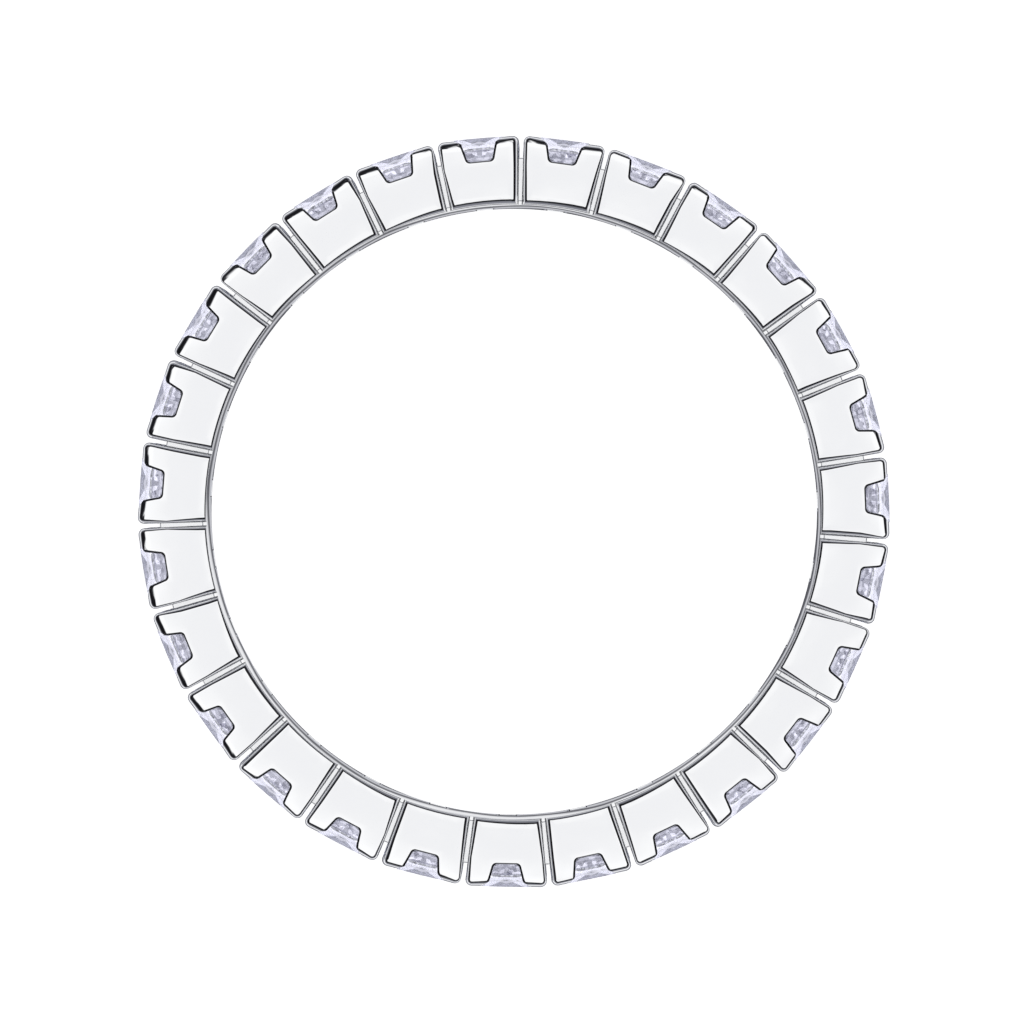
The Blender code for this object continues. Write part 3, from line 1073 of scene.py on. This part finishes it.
clear, nodes, links, shader = new_material("clear stone")
shader.inputs["Transmission Weight"].default_value = 1
shader.inputs["IOR"].default_value = STONE_BENDING
marks = marks_in(clear, STONE_WAVE, STONE_SMEAR)
links.new(fade(clear, marks.outputs["Smear"], *HAZE_LEVELS, 0, HAZE), shader.inputs["Roughness"])
cells = nodes.new("ShaderNodeTexVoronoi")
cells.distance = "CHEBYCHEV"
cells.inputs["Scale"].default_value = 1 / CELL_SIZE
links.new(nodes.new("ShaderNodeTexCoord").outputs["Object"], cells.inputs["Vector"])
glints = nodes.new("ShaderNodeSeparateColor")
links.new(cells.outputs["Color"], glints.inputs[0])
# Painted reflections: a mosaic of dark and light squares on the pavilion, seen only by the camera
mosaic = two_colours(clear, glints.outputs[0], *PAVILION_PAINTED_REFLECTIONS)
radius = place_in(clear)[0]
on_crown = fade(clear, radius, *GIRDLE_CHANGE, 0, 1)
tint = two_colours(clear, on_crown, mosaic, CROWN_TINT)
seen_from_outside = nodes.new("ShaderNodeLightPath").outputs["Is Camera Ray"]
links.new(two_colours(clear, seen_from_outside, CROWN_TINT, tint), shader.inputs["Base Color"])
print("stone:", len(nodes), "nodes")

# %% [markdown]
# ## Dressing
#
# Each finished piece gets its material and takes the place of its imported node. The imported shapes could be
# kept and only coloured, but only the finer ones show the polished rounds.

# %% Dress the ring


def dress(piece, material, node):
    """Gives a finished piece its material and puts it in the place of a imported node."""
    piece.data.materials.clear()
    piece.data.materials.append(material)
    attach(piece, "root")
    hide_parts(node)


dress(band, metal, "band")
for index, piece in enumerate(set_stones):
    dress(piece, clear, f"stone_{index + 1:02d}")
print("pieces dressed:", 1 + len(set_stones))

# %% [markdown]
# ## The floor
#
# The ring lies on a plain white floor. A mirror shows its surroundings, so the floor's brightness in
# reflections matters more than how it looks itself. Its shade close to the ring gives the thin grey
# outline of the boxes, and its narrow light and dark rings draw the lines on the finger hole's wall. Lamps
# and real shade give something like it, but a floor that glows by what meets it is surer: one brightness
# for the camera, one for mirrors, one for light inside a stone.

# %% Pale floor
FLOOR_HEIGHT = -0.00002
FLOOR_SIZE = 6
FLOOR_ROUGHNESS = 0.6
WHITE = (0.9, 0.9, 0.9, 1)
NO_COLOUR = (0, 0, 0, 1)
THROUGH_STONES = (0.66, 0.665, 0.75, 1)
# The tint that a shade takes on as it gets darker
COOL = (0.92, 0.94, 1.10)
# Millimetres from the finger's axis, brightness
FLOOR_IN_REFLECTIONS = (
    (0, 0.02), (5.0, 0.02), (6.5, 0.15), (7.3, 0.25), (7.75, 0.55), (7.95, 0.9), (8.1, 0.8),
    (8.2, 0.12), (8.28, 0.06), (8.36, 0.6), (8.46, 0.6), (8.56, 0.1), (8.7, 0.1),
    (10.5, 0.12), (12.5, 0.18), (15, 0.35), (16, 0.4))
FLOOR_REACH = 16
# How far these rings of shade wander, in metres, and how often to the metre
FLOOR_WANDER = 0.0013
PATCHES_PER_METRE = 160


def ramp_of(nodes, stops, reach):
    """A colour ramp through (place, brightness) stops, with places from 0 to reach."""
    ramp = nodes.new("ShaderNodeValToRGB")
    elements = ramp.color_ramp.elements
    while len(elements) > 1:
        elements.remove(elements[-1])
    for i, (place, level) in enumerate(stops):
        element = elements[0] if i == 0 else elements.new(place / reach)
        element.position = place / reach
        shade = 1 - min(level, 1)
        element.color = (*(level * part ** shade for part in COOL), 1)
    return ramp


put_down()
bpy.ops.mesh.primitive_plane_add(size=FLOOR_SIZE, location=(0, 0, FLOOR_HEIGHT))
floor = bpy.context.object
floor.name = "pale_floor"
bpy.ops.object.transform_apply(location=True, rotation=False, scale=False)
white, nodes, links, shader = new_material("pale floor")
shader.inputs["Roughness"].default_value = FLOOR_ROUGHNESS
radius = place_in(white)[0]
place = nodes.new("ShaderNodeTexCoord").outputs["Object"]
radius = maths(white, "ADD", radius, drift(white, place, PATCHES_PER_METRE, FLOOR_WANDER))
# Painted shade and light for mirrors: dark under and around the ring, with narrow painted light and dark
# rings just inside the finger hole
shade = ramp_of(nodes, FLOOR_IN_REFLECTIONS, FLOOR_REACH)
links.new(maths(white, "DIVIDE", radius, FLOOR_REACH * MILLIMETRE), shade.inputs[0])
seen_by = nodes.new("ShaderNodeLightPath").outputs
by_mirrors = two_colours(white, seen_by["Is Glossy Ray"], WHITE, shade.outputs[0])
glow = two_colours(white, seen_by["Is Transmission Ray"], by_mirrors, THROUGH_STONES)
links.new(glow, shader.inputs["Emission Color"])
colour = two_colours(white, seen_by["Is Glossy Ray"], WHITE, NO_COLOUR)
links.new(colour, shader.inputs["Base Color"])
shader.inputs["Emission Strength"].default_value = 1
floor.data.materials.append(white)
print("floor:", FLOOR_SIZE, "m wide,", len(nodes), "nodes")

# %% [markdown]
# ## The light
#
# Jewellery is photographed in a white tent: soft light from all round, and a dark band where the tent
# ends and the room begins. A mirror needs something to reflect, so instead of lamps the whole sky is
# painted: white overhead for the flat faces, a dark band that draws the lines along the edges, and white
# again near the floor. The band wanders a little, as no tent hangs straight. Light inside a stone meets
# plain brightness, so that the stones stay clear.

# %% Soft studio
# Degrees from straight up, brightness
OVERHEAD = ((0, 1.02), (2, 1.0), (3.2, 0.945), (4.6, 0.945), (6, 0.99), (8, 1.06), (12, 1.08), (14, 1.05))
TOWARDS_SIDES = OVERHEAD + (
    (17, 0.03), (22, 0.008), (48, 0.01), (56, 0.12), (66, 0.30), (74, 0.8), (82, 1.1), (90, 1.2),
    (180, 1.0))
TOWARDS_ENDS = OVERHEAD + (
    (17, 0.05), (22, 0.012), (42, 0.03), (50, 0.22), (64, 0.34), (74, 0.8), (82, 1.1), (180, 1.0))
STRAIGHT_DOWN = 180
SKY_THROUGH_STONES = (1.25, 1.25, 1.37, 1)
# As shares of the way from straight up to straight down: how far the band wanders, and where that starts
BAND_WANDER = 0.14
WANDER_STARTS = (0.06, 0.2)
WANDER_SCALE = 2.2
NEARLY_NOTHING = 0.000001

world = bpy.data.worlds.new("soft studio")
bpy.context.scene.world = world
world.use_nodes = True
nodes, links = world.node_tree.nodes, world.node_tree.links
direction = nodes.new("ShaderNodeTexCoord").outputs["Generated"]
split = nodes.new("ShaderNodeSeparateXYZ")
links.new(direction, split.inputs[0])
from_top = maths(world, "DIVIDE", maths(world, "ARCCOSINE", split.outputs["Z"]), math.pi)
free = fade(world, from_top, *WANDER_STARTS, 0, 1)
wander = maths(world, "MULTIPLY", drift(world, direction, WANDER_SCALE, BAND_WANDER), free)
from_top = maths(world, "ADD", from_top, wander)
sideways = maths(world, "POWER", split.outputs["X"], 2)
endways = maths(world, "POWER", split.outputs["Y"], 2)
level_part = maths(world, "ADD", maths(world, "ADD", sideways, endways), NEARLY_NOTHING)
side_share = maths(world, "DIVIDE", sideways, level_part)
to_sides = ramp_of(nodes, TOWARDS_SIDES, STRAIGHT_DOWN)
to_ends = ramp_of(nodes, TOWARDS_ENDS, STRAIGHT_DOWN)
links.new(from_top, to_sides.inputs[0])
links.new(from_top, to_ends.inputs[0])
tent = two_colours(world, side_share, to_ends.outputs[0], to_sides.outputs[0])
through_stones = nodes.new("ShaderNodeLightPath").outputs["Is Transmission Ray"]
sky = two_colours(world, through_stones, tent, SKY_THROUGH_STONES)
links.new(sky, nodes["Background"].inputs["Color"])
print("sky:", len(nodes), "nodes")

# %% [markdown]
# ## Bounces
#
# Light bounces many times in a cut stone and between the boxes. A renderer that stops early leaves black
# spots there. It could be given more samples, but only more bounces help.

# %% Follow the light further
BOUNCES_IN_STONES = 24
BOUNCES_ON_METAL = 16

light_paths = bpy.context.scene.cycles
light_paths.max_bounces = BOUNCES_IN_STONES
light_paths.glossy_bounces = BOUNCES_ON_METAL
light_paths.transmission_bounces = BOUNCES_IN_STONES
print("bounces:", light_paths.max_bounces)

# %% [markdown]
# ## The camera
#
# The photo looks along the finger, from almost straight above the ring's upper faces. It could be drawn
# without perspective, but in the photo the far rim of the finger hole shows as a thin ring inside the
# near one, so the camera has a long lens and stands about 15 cm away. The top of the photo is +Y.

# %% Camera
FACE_HEIGHT = BAND_WIDTH * MILLIMETRE
CAMERA_DISTANCE = 0.147
CAMERA_ASIDE = (0.00096, 0.00105)
LENS = 184.0
SENSOR = 36
IMAGE_SIDE = 1024
# How far the ring's middle is moved in the picture, in pixels
MOVED_RIGHT, MOVED_DOWN = 1.7, 0.2
NEAREST_SEEN, FURTHEST_SEEN = 0.001, 10

camera_data = bpy.data.cameras.new("camera")
camera = bpy.data.objects.new("camera", camera_data)
bpy.context.scene.collection.objects.link(camera)
camera.location = (*CAMERA_ASIDE, FACE_HEIGHT + CAMERA_DISTANCE)
backward = (camera.location - Vector((0, 0, FACE_HEIGHT))).normalized()
right = Vector((0, 1, 0)).cross(backward).normalized()
camera.rotation_euler = Matrix((right, backward.cross(right), backward)).transposed().to_euler()
camera_data.lens = LENS
camera_data.sensor_width = SENSOR
camera_data.shift_x = -MOVED_RIGHT / IMAGE_SIDE
camera_data.shift_y = MOVED_DOWN / IMAGE_SIDE
camera_data.clip_start = NEAREST_SEEN
camera_data.clip_end = FURTHEST_SEEN
camera_data.dof.use_dof = False
bpy.context.scene.camera = camera
bpy.context.scene.view_settings.view_transform = "Standard"
print("the camera leans by", round(math.degrees(backward.angle(Vector((0, 0, 1)))), 2), "degrees")
